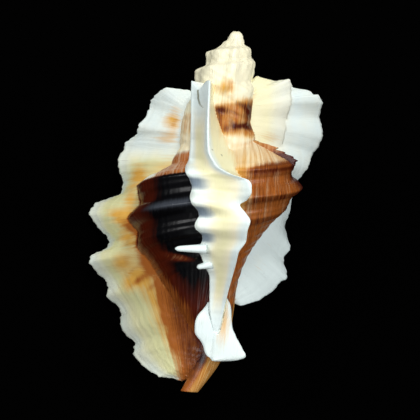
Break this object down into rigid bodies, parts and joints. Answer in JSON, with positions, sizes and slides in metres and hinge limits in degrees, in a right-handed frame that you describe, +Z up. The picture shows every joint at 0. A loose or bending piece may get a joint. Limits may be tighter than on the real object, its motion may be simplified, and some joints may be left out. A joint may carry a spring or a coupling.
{
  "type": "murex shell",
  "caption": "Dried sea snail shell with a pointed spire, broad wing-like frills, a raised frill along its back, an oval aperture and a long closed canal.",
  "frame": {"origin": "middle of the box around the shell, at the level of the surface that it lies on", "axes": "+Z up, with the aperture below; +Y toward the tip of the spire; +X toward the smaller side wing"},
  "size_m": [0.0496, 0.0746, 0.0376],
  "materials": {
    "shell": "Glossy natural shell: blue-white to cream wings with golden stains, brown to near-black whorl, cream spire"
  },
  "bodies": {
    "root": {"shell": "shell"}
  },
  "joints": []
}
